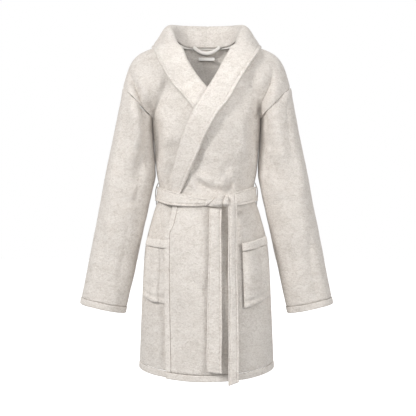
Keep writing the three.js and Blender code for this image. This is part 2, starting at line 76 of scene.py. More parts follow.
# a round shoulder that runs down into the hanging arm
arm = {
    "x": 156, "round": 72, "top": -75, "pit": -193, "flare": 0.1964,
    "hangX": 224, "hangZ": -722, "hangLean": 0.22,
    "clear": (7.0, 0.6), "clearFrom": -395, "clearTo": -300, "reach": 245,
    "depths": [(-722, 52), (-545, 60), (-340, 66), (-193, 72), (-75, 66)],
}


def through(pairs, place):
    # smooth curve through rising places
    last = len(pairs) - 1
    if place <= pairs[0][0]:
        return pairs[0][1]
    if place >= pairs[last][0]:
        return pairs[last][1]
    i = 0
    while place > pairs[i + 1][0]:
        i += 1

    def slope(k):
        a, b = pairs[max(k - 1, 0)], pairs[min(k + 1, last)]
        return (b[1] - a[1]) / (b[0] - a[0])

    x0, y0 = pairs[i]
    x1, y1 = pairs[i + 1]
    run = x1 - x0
    t = (place - x0) / run
    start = (1 - t) ** 2 * ((1 + 2 * t) * y0 + t * run * slope(i))
    return start + t * t * ((3 - 2 * t) * y1 - (1 - t) * run * slope(i + 1))


def mix(a, b, t):
    return a + (b - a) * t


def ease(low, high, value):
    # 0 at low, 1 at high, whichever of the two is the greater
    t = min(max((value - low) / (high - low), 0.0), 1.0)
    return t * t * (3 - 2 * t)


def softMax(a, b, blur):
    # rounds the crease where two forms meet
    h = max(blur - abs(a - b), 0.0) / blur
    return max(a, b) + h * h * blur / 4


def seamAt(z):
    # the armhole seam seen from the front
    return body["seamTop"][0] - (body["seamTop"][1] - z) * body["seamSlope"]


def edgeAt(z):
    # how far out the body cloth reaches at a height: shoulder, armhole seam, side seam
    if z > body["seamTop"][1]:
        return through(body["shoulder"], z)
    return max(through(body["widths"], z), seamAt(z))


def armAt(z):
    # middle, half width and half depth of the arm at a height
    cap = max((z - arm["top"]) / arm["round"], 0.0)
    roundOff = math.sqrt(max(1 - cap * cap, 0.0))
    curved = arm["round"] * roundOff
    outer = arm["x"] + curved + arm["flare"] * max(arm["top"] - z, 0.0)
    clear = mix(*arm["clear"], ease(arm["clearFrom"], arm["clearTo"], z))
    hanging = arm["hangX"] - arm["hangLean"] * (z - arm["hangZ"])
    lower = max(through(body["widths"], z) + clear, hanging)
    inner = mix(lower, arm["x"] - curved, ease(arm["pit"], arm["top"], z))
    return (inner + outer) / 2, (outer - inner) / 2, through(arm["depths"], z) * roundOff


def depthAt(x, z, table, recess=0.0):
    # how far the cloth stands out from the side seam plane at a place seen from the front
    deep = through(table, z) - recess * (1 - ease(-120, -45, z))
    wide = through(body["widths"], z)
    across = min(abs(x) / wide, 1.0)
    chest = deep * math.sqrt(1 - across * across)
    centre, half, reach = armAt(z)
    off = min(abs(abs(x) - centre) / half, 1.0) if half > 1 else 1.0
    limb = reach * math.sqrt(1 - off * off)
    blur = min(14, max(chest, limb) + 0.01)
    besideArm = z > body["armpit"] - 10 and abs(x) < arm["reach"]
    joined = softMax(chest, limb, blur) if besideArm else chest
    edge = edgeAt(z)
    share = min(abs(x) / edge, 1.0)
    if z > body["seamTop"][1] - 3:
        joined *= (1 - share ** 30) ** 0.5  # front and back meet along the shoulder
    dome = deep * (1 - share ** 2.4) ** 0.5
    return mix(joined, dome, ease(-125, -55, z)) if z > -125 else joined


foldGain = {"height": 2.0, "width": 1.15, "deepest": 12.0, "limb": 20.0}


def foldsAt(strokes, x, z):
    # each fold: x, z where it starts, x, z where it ends, height (a valley below 0), width, bow
    lift = 0.0
    for ax, az, bx, bz, height, width, bow in strokes:
        width *= foldGain["width"]
        dx, dz = bx - ax, bz - az
        length = math.hypot(dx, dz)
        along = ((x - ax) * dx + (z - az) * dz) / (length * length)
        if along < -0.25 or along > 1.25:
            continue
        off = ((x - ax) * dz - (z - az) * dx) / length
        off -= bow * 4 * along * (1 - along)
        if abs(off) > 3 * width:
            continue
        fade = ease(-0.25, 0.2, along) * (1 - ease(0.8, 1.25, along))
        # valleys are creased sharply, ridges are round
        shape = math.exp(-abs(off) / (0.8 * width)) if height < 0 else math.exp(-(off / width) ** 2)
        lift += height * fade * shape
    # a valley stays clear of the cloth under it
    lift *= foldGain["height"]
    floor = foldGain["deepest"] if abs(x) < 96 else foldGain["limb"]
    return lift if lift > 0 else -floor * math.tanh(-lift / floor)


def ripple(x, z, seed, size=55.0, height=1.6):
    # slow uneven swell of thick soft cloth
    a = noise.noise(Vector((x / size, z / (size * 1.8), seed)))
    b = noise.noise(Vector((x / 21, z / 30, seed + 7)))
    return height * a + 0.45 * height * b


def toFrame(p):
    return (p[0] * mm, (p[1] - inset) * mm, p[2] * mm)


def hemAt(y):
    deep = body["fronts"][0][1] if y < 0 else body["backs"][0][1]
    dip = body["dipFront"] if y < 0 else body["dipBack"]
    return body["hem"] - dip * min(abs(y) / deep, 1.2) ** 1.5


def makeObject(name, points, faces):
    mesh = bpy.data.meshes.new(name)
    mesh.from_pydata(points, [], faces)
    shape = bmesh.new()
    shape.from_mesh(mesh)
    bmesh.ops.recalc_face_normals(shape, faces=shape.faces)
    shape.to_mesh(mesh)
    shape.free()
    piece = bpy.data.objects.new(name, mesh)
    bpy.context.scene.collection.objects.link(piece)
    return piece


def applyAll(piece):
    bpy.ops.object.select_all(action="DESELECT")
    bpy.context.view_layer.objects.active = piece
    piece.select_set(True)
    for modifier in list(piece.modifiers):
        bpy.ops.object.modifier_apply(modifier=modifier.name)
    bpy.ops.object.shade_smooth()
    piece.select_set(False)


clothFaces = {}  # both faces of every cloth, for the thread to follow


def makeCloth(name, grid, thickness, thin=None, loop=False):
    # grid holds rows of middle points; thin(i, j) is the share of the thickness kept there
    rows, cols = len(grid), len(grid[0])

    def at(i, j):
        row = i % rows if loop else min(max(i, 0), rows - 1)
        return Vector(grid[row][min(max(j, 0), cols - 1)])

    front, back = [], []
    spanU = rows if loop else rows - 1
    for i in range(rows):
        for j in range(cols):
            normal = (at(i + 1, j) - at(i - 1, j)).cross(at(i, j + 1) - at(i, j - 1))
            normal.normalize()
            keep = thin(i, j) if thin else 1.0
            half = normal * (thickness / 2 * keep)
            front.append(toFrame(at(i, j) + half))
            back.append(toFrame(at(i, j) - half))
    clothFaces[name] = (front, back, rows, cols)
    total = rows * cols
    faces = []
    for i in range(spanU):
        a, b = i * cols, ((i + 1) % rows) * cols
        for j in range(cols - 1):
            faces.append((a + j, b + j, b + j + 1, a + j + 1))
            faces.append((total + a + j, total + a + j + 1, total + b + j + 1, total + b + j))
        faces.append((a, total + a, total + b, b))
        faces.append((a + cols - 1, b + cols - 1, total + b + cols - 1, total + a + cols - 1))
    if not loop:
        end = (rows - 1) * cols
        for j in range(cols - 1):
            faces.append((j, j + 1, total + j + 1, total + j))
            faces.append((end + j, total + end + j, total + end + j + 1, end + j + 1))
    piece = makeObject(name, front + back, faces)
    piece.modifiers.new("Smooth cloth", "SUBSURF").levels = 1
    applyAll(piece)
    return piece


def flatSize(grid, loop=False):
    # length along the rows, across the columns, and the area, in metres
    rows, cols = len(grid), len(grid[0])
    v = [[Vector(p) * mm for p in row] for row in grid]
    if loop:
        v.append(v[0])
    down = max(sum((v[i + 1][j] - v[i][j]).length for i in range(len(v) - 1)) for j in range(cols))
    across = max(sum((row[j + 1] - row[j]).length for j in range(cols - 1)) for row in v)
    area = 0.0
    for i in range(len(v) - 1):
        for j in range(cols - 1):
            one, two = v[i + 1][j + 1] - v[i][j], v[i + 1][j] - v[i][j + 1]
            area += one.cross(two).length / 2
    return round(across, 4), round(down, 4), round(area, 5)


def addCloth(name, grid, thickness, node, slotName, bodyName="robe_body",
             thin=None, loop=False):
    piece = makeCloth(name, grid, thickness, thin, loop)
    piece.data.materials.append(looks[slotName])
    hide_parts(node)
    across, down, area = flatSize(grid, loop)
    area = min(max(area, 0.31 * across * down), across * down)
    if bodyName:
        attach(piece, bodyName)
    return piece


plushLook = {"light": (0.85, 0.815, 0.775), "mid": (0.76, 0.715, 0.668),
             "dark": (0.50, 0.452, 0.405),
             "blotch": 20.0, "nap": 62.0, "tuft": 210.0, "fibre": 900.0}


def newMaterial(name):
    material = bpy.data.materials.new(name)
    material.use_nodes = True
    return material, material.node_tree, material.node_tree.nodes["Principled BSDF"]


def setInputs(node, **values):
    # spaces in socket names are written as underscores
    for socket, value in values.items():
        node.inputs[socket.replace("_", " ")].default_value = value


def placed(tree, kind, place, **values):
    node = tree.nodes.new(kind)
    setInputs(node, **values)
    tree.links.new(place, node.inputs["Vector"])
    return node


def maths(tree, operation, *terms):
    node = tree.nodes.new("ShaderNodeMath")
    node.operation = operation
    for socket, term in zip(node.inputs, terms):
        if isinstance(term, float):
            socket.default_value = term
        else:
            tree.links.new(term, socket)
    return node.outputs[0]


def addBump(tree, shader, height, strength, distance):
    bump = tree.nodes.new("ShaderNodeBump")
    setInputs(bump, Strength=strength, Distance=distance)
    tree.links.new(height, bump.inputs["Height"])
    tree.links.new(bump.outputs["Normal"], shader.inputs["Normal"])


def addRamp(tree, source, stops):
    node = tree.nodes.new("ShaderNodeValToRGB")
    for element, (spot, colour) in zip(node.color_ramp.elements, stops):
        element.position = spot
        element.color = (*colour, 1)
    tree.links.new(source, node.inputs["Fac"])
    return node.outputs["Color"]


def makePlush(name, look, pileDepth=0.0024, flatness=0.0):
    material, tree, shader = newMaterial(name)
    place = tree.nodes.new("ShaderNodeTexCoord").outputs["Object"]
    # the pile lies in short rows
    rows = placed(tree, "ShaderNodeMapping", place, Scale=(1.0, 1.0, 1.7)).outputs["Vector"]

    def cloud(scale, detail, rough, warp=0.0):
        return placed(tree, "ShaderNodeTexNoise", rows, Scale=scale, Detail=detail,
                      Roughness=rough, Distortion=warp).outputs["Fac"]

    def blendOf(kind, factor, a, b):
        node = tree.nodes.new("ShaderNodeMix")
        node.data_type = "RGBA"
        node.blend_type = kind
        node.inputs["Factor"].default_value = factor
        tree.links.new(a, node.inputs["A"])
        tree.links.new(b, node.inputs["B"])
        return node.outputs["Result"]

    blotch = cloud(look["blotch"], 3, 0.55, 0.6)
    nap = cloud(look["nap"], 4, 0.6, 1.2)
    tuft = cloud(look["tuft"], 4, 0.62, 0.9)
    fibre = cloud(look["fibre"], 2, 0.6)
    clump = placed(tree, "ShaderNodeTexVoronoi", place, Scale=look["tuft"] * 1.35)
    clump.feature = "SMOOTH_F1"
    spread = clump.outputs["Distance"]

    base = addRamp(tree, blotch, [(0.36, look["mid"]), (0.62, look["light"])])
    streaks = addRamp(tree, nap, [(0.38, look["dark"]), (0.53, look["light"])])
    grain = addRamp(tree, tuft, [(0.34, look["dark"]), (0.56, look["light"])])
    # painted shade: the dents between pile tufts, sunk by the same distance in the bump below, are
    # coloured darker
    paintedPitShade = addRamp(tree, spread, [(0.05, (1.0, 1.0, 1.0)), (0.75, (0.80, 0.78, 0.76))])
    colour = blendOf("MIX", 0.36, base, streaks)
    colour = blendOf("MIX", 0.34, colour, grain)
    colour = blendOf("MULTIPLY", 0.55, colour, paintedPitShade)
    tree.links.new(colour, shader.inputs["Base Color"])

    fine = maths(tree, "MULTIPLY", fibre, 0.3)
    waves = maths(tree, "MULTIPLY_ADD", nap, 1.5, fine)
    relief = maths(tree, "MULTIPLY_ADD", tuft, 0.75, waves)
    dents = maths(tree, "MULTIPLY", spread, 0.35)
    relief = maths(tree, "SUBTRACT", relief, dents)
    addBump(tree, shader, relief, 0.75 - flatness, pileDepth)

    rough = tree.nodes.new("ShaderNodeMapRange")
    setInputs(rough, To_Min=0.84, To_Max=1.0)
    tree.links.new(tuft, rough.inputs["Value"])
    tree.links.new(rough.outputs["Result"], shader.inputs["Roughness"])
    setInputs(shader, Sheen_Weight=0.28, Sheen_Roughness=0.45, Sheen_Tint=(1.0, 0.975, 0.95, 1),
              Specular_IOR_Level=0.2)
    return material


def makeRibbed(name, colour, ribs, across):
    # woven tape: fine ribs along one direction, crossed by a faint weft
    material, tree, shader = newMaterial(name)
    place = tree.nodes.new("ShaderNodeTexCoord").outputs["Object"]
    waves = []
    for direction, count in ((across, ribs), ("Z", ribs * 0.6)):
        wave = placed(tree, "ShaderNodeTexWave", place, Scale=count, Distortion=0.6)
        wave.bands_direction = direction
        waves.append(wave.outputs["Fac"])
    weave = maths(tree, "MULTIPLY_ADD", waves[0], 0.7, waves[1])
    shaded = addRamp(tree, weave, [(0.0, [c * 0.84 for c in colour]), (1.0, colour)])
    tree.links.new(shaded, shader.inputs["Base Color"])
    addBump(tree, shader, weave, 0.5, 0.0004)
    setInputs(shader, Roughness=0.72, Sheen_Weight=0.1)
    return material


looks = {
    "plush": makePlush("Plush pile", plushLook),
    "stitched_edge": makePlush("Pressed plush edge", plushLook, 0.0016, 0.1),
    "belt_cloth": makePlush("Belt plush", plushLook, 0.0018, 0.05),
    "tape": makeRibbed("Ribbed tape", (0.86, 0.835, 0.80), 320.0, "X"),
    "label": makeRibbed("Blank satin label", (0.90, 0.885, 0.86), 700.0, "X"),
}
thread = makeRibbed("Sewing thread", (0.80, 0.765, 0.725), 900.0, "X")
print("materials made")

# outer free edge of the wearer's left front, and of the right one under it, as (height, x)
leftEdge = [(-960, -108), (-514, -113), (-487, -102), (-436, -91), (-388, -89), (-340, -81),
            (-241, -51), (-180, -25), (-137, 2), (-91, 31), (-45, 58), (-10, 74), (22, 88)]
rightEdge = [(-960, -88), (-487, -84), (-388, -76), (-340, -66), (-240, -42), (-150, -12),
             (-102, 24), (-52, 60), (-12, 82), (22, 88)]

folds = {
    "left": [
        (178, -84, 128, -200, -8, 8, -5), (190, -112, 146, -205, 5, 13, -4),
        (150, -92, 118, -190, 4, 16, 6), (128, -200, 149, -300, -7, 8, 6),
        (112, -240, 124, -350, -5, 8, -4), (126, -330, 137, -392, -6, 8, 3),
        (96, -200, 104, -300, 3, 16, -4), (60, -120, 108, -100, -2.5, 13, 4),
        (20, -230, 84, -262, -2.2, 15, -8), (-10, -290, 60, -318, 2.4, 14, 6),
        (-24, -370, 26, -397, -8, 6, 3), (-16, -356, 36, -384, 5, 8, 3),
        (18, -372, 40, -398, -5, 6, 2), (44, -366, 50, -398, 4, 6, 0),
        (70, -375, 52, -398, -6, 8, 0), (82, -360, 104, -396, -4, 9, 0),
        (64, -340, 86, -392, 4, 11, 3), (100, -300, 120, -392, -3, 12, 0),
        (30, -330, 44, -392, 3, 14, 3), (-45, -330, -30, -392, 2, 13, 2),
        (80, -450, 128, -432, -5, 8, 2), (88, -470, 136, -452, 4, 9, 2),
        (62, -446, 58, -620, -6, 11, -3), (100, -450, 108, -640, 4, 22, 6),
        (50, -446, 44, -760, 5, 16, 3), (-44, -620, 4, -668, -3, 13, 6),
        (-60, -446, -70, -700, 3, 22, 6), (-10, -450, -18, -820, 3.5, 28, 8),
        (92, -640, 104, -880, 4, 24, 8), (30, -640, 26, -880, -3, 24, -6),
        (140, -470, 150, -700, -3, 14, 3), (-75, -700, -84, -880, -2.5, 18, 4),
    ],
    "right": [
        (206, -82, 168, -190, -13, 8, 2), (190, -84, 152, -176, 4, 12, 3),
        (122, -88, 146, -168, 5, 13, 0), (214, -112, 184, -168, 4, 10, 0),
        (160, -150, 134, -214, -8, 8, -5), (134, -205, 146, -320, -7, 8, 5),
        (120, -180, 112, -260, 4, 14, -4), (70, -150, 118, -190, -2.4, 14, 6),
        (60, -250, 120, -270, 2.5, 13, -6), (130, -210, 142, -330, -6, 11, 4),
        (112, -240, 120, -340, 3, 16, 4), (90, -330, 108, -392, -3, 12, 0),
        (128, -450, 122, -520, -4, 10, 2), (108, -470, 112, -560, 4, 13, 2),
        (148, -480, 152, -700, -3, 13, 2), (140, -690, 134, -860, 3, 18, 5),
        (118, -700, 116, -880, -3, 14, 3),
    ],
    "back": [
        (172, -78, 140, -160, -6, 13, 5), (130, -110, 118, -220, 4, 18, 6),
        (0, -300, -18, -396, -4, 16, 6), (44, -290, 60, -396, 4, 16, -6),
        (-70, -300, -52, -396, 4, 18, 6), (86, -320, 98, -396, -5, 12, 0),
        (-104, -330, -96, -396, -4, 12, 0), (22, -330, 30, -396, -4, 11, 3),
        (-30, -450, -40, -800, 6, 26, 8), (30, -450, 40, -840, -6, 22, -8),
        (74, -450, 88, -820, 6, 26, 8), (-82, -450, -100, -860, -6, 24, 8),
        (124, -460, 140, -860, -4, 20, 6), (-130, -460, -142, -840, 4, 20, 6),
        (2, -456, 0, -640, -4, 12, 2), (-60, -600, -66, -880, -3, 18, -5),
        (-40, -120, 40, -126, 3, 30, -10), (-90, -180, 90, -190, -2.5, 22, 12),
    ],
}


def foldLift(x, z, strokes, seed, flip=1.0):
    # the belt presses the folds nearly flat where it goes round
    pressed = 1 - 0.8 * math.exp(-((z - body["beltLine"]) / body["beltPress"]) ** 2)
    return (foldsAt(strokes, x * flip, z) + ripple(x, z, seed)) * pressed


def sunkEdge(z):
    # middle of the cloth at the side, half its thickness in from the outer face
    return edgeAt(z) - panel["sink"] * ease(-10, -60, z)


def bodyPoint(share, z, side, recess, lift, strokes, seed, flip):
    # share is the place between the middle and the side seam
    table = body["fronts"] if side < 0 else body["backs"]
    x = sunkEdge(z) * share * flip
    stand = depthAt(edgeAt(z) * share, z, table, recess)
    stand += foldLift(x, z, strokes, seed, flip) * ease(4, 40, stand) + lift * ease(0, 12, stand)
    return x, side * stand, z


panel = {"across": 88, "backAcross": 90, "down": 130, "top": 20.5, "hemDepth": 18.0, "gap": 0.3,
         "bandTop": -428.0, "bandWidth": 14.0, "bandCloth": 6.4, "hemCloth": 6.6, "sink": 2.4,
         "lastColumn": 0.9965, "crowd": 1.12, "bandRows": 96, "hemRows": 6, "bandColumns": 6}


def panelGrid(inner, side, hand, across, rows, strokes, seed, lift, recess=0.0,
              outer=None, top=None, bottomRaise=0.0, power=1.0):
    # rows run down, columns from the inner edge to the side; hand is 1 for the wearer's left
    table = body["fronts"] if side < 0 else body["backs"]
    deep = table[0][1]
    grid = []
    for j in range(rows + 1):
        t = (j / rows) ** power
        row = []
        for i in range(across + 2):
            # one extra column keeps the seam edge crisp
            u = i / across if i < across else (panel["lastColumn"], 1.0)[i - across]
            z = body["hem"] + 6.0 if top is None else mix(top, body["hem"] + 6.0, t)
            for attempt in range(3):
                edge = sunkEdge(z)
                a = math.acos(max(min(inner(z) / edge, 1.0), -1.0))
                b = math.acos(min(outer(z) / edge, 1.0)) if outer else 0.0
                angle = mix(a, b, u)
                foot = hemAt(side * deep * math.sin(angle)) + bottomRaise
                start = foot + panel["hemDepth"] if top is None else top
                z = mix(start, foot, t)
            row.append(bodyPoint(math.cos(angle), z, side, recess, lift, strokes, seed, hand))
        grid.append(row)
    return grid


def edgeOf(table, shift=0.0, besideBand=False):
    def inner(z):
        moved = shift
        if besideBand:
            above = ease(panel["bandTop"] - 1.5, panel["bandTop"] + 1.5, z)
            moved += (panel["bandWidth"] + panel["gap"]) * (1 - above)
        return through(table, z) + moved
    return inner


cloth = body["cloth"]
hemRaise = panel["hemDepth"] + panel["gap"]
wholeBack = lambda z: -edgeAt(z)

fronts = {
    "left": {"edge": leftEdge, "hand": 1, "recess": 0.0, "seed": 11.0, "tilt": 10.0},
    "right": {"edge": rightEdge, "hand": -1, "recess": body["recess"], "seed": 17.0,
              "tilt": 5.0},
}

backShape = {"side": 1, "hand": 1, "across": panel["backAcross"], "strokes": folds["back"],
             "seed": 3.0}
grid = panelGrid(wholeBack, rows=panel["down"], lift=-cloth / 2, top=panel["top"],
                 bottomRaise=hemRaise, power=panel["crowd"], **backShape)
addCloth("backPanel", grid, cloth, "back_panel", "plush")
grid = panelGrid(wholeBack, rows=panel["hemRows"], lift=-cloth / 2 + 0.6, **backShape)
addCloth("backHem", grid, panel["hemCloth"], "hem_back", "stitched_edge")

for name, front in fronts.items():
    common = {key: front[key] for key in ("hand", "recess", "seed")}
    common.update(side=-1, strokes=folds[name])
    grid = panelGrid(edgeOf(front["edge"], besideBand=True), across=panel["across"],
                     rows=panel["down"], lift=-cloth / 2, top=panel["top"],
                     bottomRaise=hemRaise, power=panel["crowd"], **common)
    addCloth(name + "Front", grid, cloth, "front_panel_" + name, "plush")

    grid = panelGrid(edgeOf(front["edge"]), across=panel["bandColumns"],
                     rows=panel["bandRows"], lift=-cloth / 2 + 0.5,
                     top=panel["bandTop"], bottomRaise=hemRaise,
                     outer=edgeOf(front["edge"], panel["bandWidth"]), **common)
    addCloth(name + "Band", grid, panel["bandCloth"], "front_band_" + name, "stitched_edge")

    grid = panelGrid(edgeOf(front["edge"]), across=panel["across"], rows=panel["hemRows"],
                     lift=-cloth / 2 + 0.6, **common)
    addCloth(name + "Hem", grid, panel["hemCloth"], "hem_" + name, "stitched_edge")
print("body panels, bands and hems made")

sleeve = {
    "around": 76, "down": 84, "seed": 23.0, "cuffX": 225.0, "cuffZ": -736.0, "cuffRise": 28 / 126,
    "hem": 18.8, "hemCloth": 6.8, "sink": 2.4, "seamDip": 3.4, "firstRow": 0.0035,
    "bendFrom": (198, -150), "bendTo": (226, -270),
    "front": [
        (186, -170, 214, -330, 4, 16, 6), (176, -230, 200, -380, -4, 11, 5),
        (222, -150, 244, -330, -3, 18, 8), (196, -380, 228, -560, 3.5, 17, -6),
        (250, -330, 276, -560, 3, 22, 6), (216, -470, 244, -640, -3, 13, 5),
        (280, -520, 304, -690, -3, 14, 4), (250, -600, 262, -720, 2.5, 16, 3),
        (168, -270, 196, -290, -3, 12, -3), (190, -420, 236, -440, -2.5, 15, -6),
        (300, -560, 330, -700, 2.5, 14, 4), (236, -250, 262, -400, 2.5, 14, -4),
    ],
    "back": [
        (180, -200, 214, -420, 4, 18, 8), (216, -180, 250, -400, -3.5, 14, 8),
        (200, -400, 250, -640, 3, 20, -8), (256, -400, 300, -660, -3, 16, 6),
        (168, -280, 214, -300, -3, 12, -5), (200, -500, 262, -520, -2.5, 16, -8),
        (290, -600, 312, -710, 3, 14, 4),
    ],
    # more folds on the front of one sleeve only
    "left": [
        (166, -190, 158, -262, -7, 8, -3), (178, -180, 184, -300, 5, 12, 6),
        (158, -262, 166, -350, -4, 9, 2), (230, -112, 216, -150, 3, 8, 0),
    ],
    "right": [
        (184, -150, 162, -226, -13, 8, 0), (164, -232, 160, -330, -6, 9, -3),
        (196, -170, 184, -290, 5, 12, 4), (176, -300, 196, -420, -4, 9, 4),
    ],
}


def sleeveX(z, angle):
    centre, half, depth = armAt(z)
    return centre + (half - sleeve["sink"]) * math.cos(angle)


def meet(test, low, high):
    # halves the stretch until the height where test changes sign is found
    for attempt in range(30):
        middle = (low + high) / 2
        if test(middle) > 0:
            high = middle
        else:
            low = middle
    return (low + high) / 2


def seamHeight(angle):
    # the seam dips a little at its very top
    dip = math.exp(-(math.sin(angle) / 0.14) ** 2) if math.cos(angle) > 0 else 0.0
    return meet(lambda z: seamAt(z) - 0.8 + sleeve["seamDip"] * dip - sleeveX(z, angle), -206, -98)


def cuffHeight(angle, raised=0.0):
    return meet(lambda z: z - sleeve["cuffZ"] - raised
                - (sleeveX(z, angle) - sleeve["cuffX"]) * sleeve["cuffRise"], -770, -620)


def sleevePoint(angle, z, hand, lift):
    centre, half, depth = armAt(z)
    x = sleeveX(z, angle)
    strokes = sleeve["back"]
    if math.sin(angle) > 0:
        strokes = sleeve["front"] + sleeve["left" if hand > 0 else "right"]
    facing = abs(math.sin(angle)) ** 0.5
    swell = foldsAt(strokes, x, z) * facing
    swell += ripple(x, z + angle * 40 * hand, sleeve["seed"] * hand)
    swell = swell * ease(-90, -112, z) + lift
    x += swell * math.cos(angle)
    y = -(depth - sleeve["sink"] + swell) * math.sin(angle)
    return x * hand, y, z


def sleeveGrid(hand, rows, high, low, lift=0.0):
    # columns run down the sleeve, rows go round it
    grid = []
    for i in range(sleeve["around"]):
        angle = 2 * math.pi * i / sleeve["around"]
        top, foot = high(angle), low(angle)
        steps = [0, sleeve["firstRow"]] + [j / rows for j in range(1, rows + 1)]
        grid.append([sleevePoint(angle, mix(top, foot, t), hand, lift) for t in steps])
    return grid


for hand, word in ((1, "left"), (-1, "right")):
    grid = sleeveGrid(hand, sleeve["down"], seamHeight,
                      lambda a: cuffHeight(a, sleeve["hem"] + 0.4))
    piece = addCloth(word + "Sleeve", grid, cloth, "sleeve_" + word, "plush", bodyName=None,
                     loop=True)
    start, end = [toFrame((sleeve[key][0] * hand, 0, sleeve[key][1]))
                  for key in ("bendFrom", "bendTo")]
    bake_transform(piece)
    grid = sleeveGrid(hand, 5, lambda a: cuffHeight(a, sleeve["hem"]), cuffHeight, 0.7)
    addCloth(word + "SleeveHem", grid, sleeve["hemCloth"], "sleeve_hem_" + word,
             "stitched_edge", bodyName=word + "_sleeve", loop=True)
print("sleeves made")

collar = {
    "cloth": 8.0, "rows": 84, "columns": 15, "firstRow": 0.003, "fine": 60,
    "proud": {"left": 9.5, "right": 11.5},  # how far the outer edge stands off the chest
    # distance in from the outer edge and the share of the thickness kept there
    "edge": [(15, 0.95), (12.2, 0.86), (10.8, 0.7), (9.8, 0.55), (8.8, 0.7), (7.2, 0.9),
             (4.5, 1.05), (2, 1.1), (0, 0.95)],
    "left": [(70, -5, 140, -20), (53, -38, 120, -50), (26, -88, 88, -101), (-4, -137, 62, -149),
             (-31, -180, 34, -184), (-58, -241, -2, -247), (-75, -295, -24, -298),
             (-87, -340, -44, -342), (-92, -385, -63, -386), (-94, -414, -76, -414)],
    "right": [(70, -5, 140, -20), (53, -46, 122, -58), (18, -98, 94, -104), (-8, -126, 66, -136),
              (-30, -166, 31, -182), (-50, -236, 2, -250), (-64, -300, -14, -306),
              (-76, -392, -30, -392)],
    "neck": [
        [(-0.8, 62.5, 16), (-0.8, 67, 56), (-0.8, 82, 82), (-0.8, 91, 70), (-0.8, 98, 38),
         (-0.8, 104, 4)],
        [(56, 44, 16), (62, 49, 56), (73, 58, 79), (83, 64, 68), (96, 72, 38), (113, 84, 6)],
        [(86, 0, 24.7), (89, 2, 47.7), (105, 4, 67), (117, 6, 58), (132, 5, 33), (151, 2, 6)],
        [(82, -42, 10), (86, -39, 22), (94, -35, 34), (107, -36, 29), (126, -38, 9),
         (146, -36, -7)],
    ],
}


def curveAt(points, t):
    # smooth curve through the points, without loops where they are unevenly spaced
    spans = len(points) - 1
    place = min(max(t, 0.0), 1.0) * spans
    i = min(int(place), spans - 1)
    share = place - i
    p1, p2 = points[i], points[i + 1]
    p0 = points[i - 1] if i > 0 else p1 * 2 - p2
    p3 = points[i + 2] if i < spans - 1 else p2 * 2 - p1
    d0, d1, d2 = [max((b - a).length, 1e-6) ** 0.5 for a, b in ((p0, p1), (p1, p2), (p2, p3))]
    m1 = (p1 - p0) / d0 - (p2 - p0) / (d0 + d1) + (p2 - p1) / d1
    m2 = (p2 - p1) / d1 - (p3 - p1) / (d1 + d2) + (p3 - p2) / d2
    m1, m2 = m1 * d1, m2 * d1
    s = share
    return (p1 * (2 * s ** 3 - 3 * s ** 2 + 1) + m1 * (s ** 3 - 2 * s ** 2 + s)
            + p2 * (3 * s ** 2 - 2 * s ** 3) + m2 * (s ** 3 - s ** 2))


def spacedOut(line, places):
    # points of a fine line at given distances back from its end
    gone = [0.0]
    for a, b in zip(line, line[1:]):
        gone.append(gone[-1] + (b - a).length)
    total = gone[-1]
    found = []
    for place in places(total):
        k = 0
        while k < len(gone) - 2 and gone[k + 1] < place:
            k += 1
        share = (place - gone[k]) / max(gone[k + 1] - gone[k], 1e-6)
        found.append(line[k] + (line[k + 1] - line[k]) * min(max(share, 0.0), 1.0))
    return found


def collarPlaces(total):
    inner = total - collar["edge"][0][0]
    main = [inner * k / collar["columns"] for k in range(collar["columns"])]
    return main + [total - gap for gap, keep in collar["edge"]]


def collarGrid(word, hand, recess):
    sections = [[Vector(p) for p in row] for row in collar["neck"]]
    for rollX, rollZ, edgeX, edgeZ in collar[word]:
        stand = cloth / 2 + 3.7 + 5 * ease(-60, -20, rollZ) - 2.4 * ease(-370, -400, rollZ)
        row = []
        for k in range(6):
            x, z = mix(rollX, edgeX, k / 5), mix(rollZ, edgeZ, k / 5)
            out = depthAt(x, z, body["fronts"], recess)
            proud = collar["proud"][word] * (k / 5) ** 3
            proud *= ease(5, -40, edgeZ) * ease(-410, -330, edgeZ)
            row.append(Vector((x, -(out + stand + proud), z)))
        sections.append(row)
    runs = [[row[k] for row in sections] for k in range(6)]
    neckShare = 3.0 / (len(sections) - 1)
    grid = []
    steps = [k / collar["rows"] for k in range(1, collar["rows"] + 1)]
    for u in [0, collar["firstRow"]] + steps:
        across = [curveAt(run, u) for run in runs]
        fine = [curveAt(across, k / collar["fine"]) for k in range(collar["fine"] + 1)]
        points = spacedOut(fine, collarPlaces)
        curl = ease(neckShare, neckShare + 0.1, u) * (1 - ease(0.94, 1.0, u) * 0.6)
        inward = (points[0] - points[1]).normalized()
        back = Vector((0, 1, 0))
        first = points[0] + inward * mix(-1.2, 2.6, curl) + back * 4.6 * curl
        last = points[0] + inward * mix(-2.0, 0.6, curl) + back * 9.0 * curl
        points[1] = points[1].lerp(points[0], 0.12)
        if curl > 0.01:
            row = [last, first] + points
        else:
            step = points[1] - points[0]
            row = [points[0], points[0] + step * 0.2, points[0] + step * 0.45] + points[1:]
        wave = 1.3 * noise.noise(Vector((u * 9, 0.3, 5 * hand)))
        swell = [wave * math.sin(math.pi * k / (len(row) - 1)) for k in range(len(row))]
        grid.append([(p.x * hand, p.y - w, p.z + w * 0.5) for p, w in zip(row, swell)])
    return grid


def collarThin(i, j):
    plain = collar["columns"] + 2
    if j < 2:
        return (0.62, 0.85)[j]
    if j < plain:
        return 1.0
    return collar["edge"][min(j - plain, len(collar["edge"]) - 1)][1]


def leftCollarThin(i, j):
    # the lower end is pressed flat where it goes under the belt
    return collarThin(i, j) * (1 - 0.42 * ease(0.9, 0.95, i / collar["rows"]))


for word, thin in (("left", leftCollarThin), ("right", collarThin)):
    grid = collarGrid(word, fronts[word]["hand"], fronts[word]["recess"])
    addCloth(word + "Collar", grid, collar["cloth"], "collar_" + word, "plush",
             thin=thin)
print("collar made")

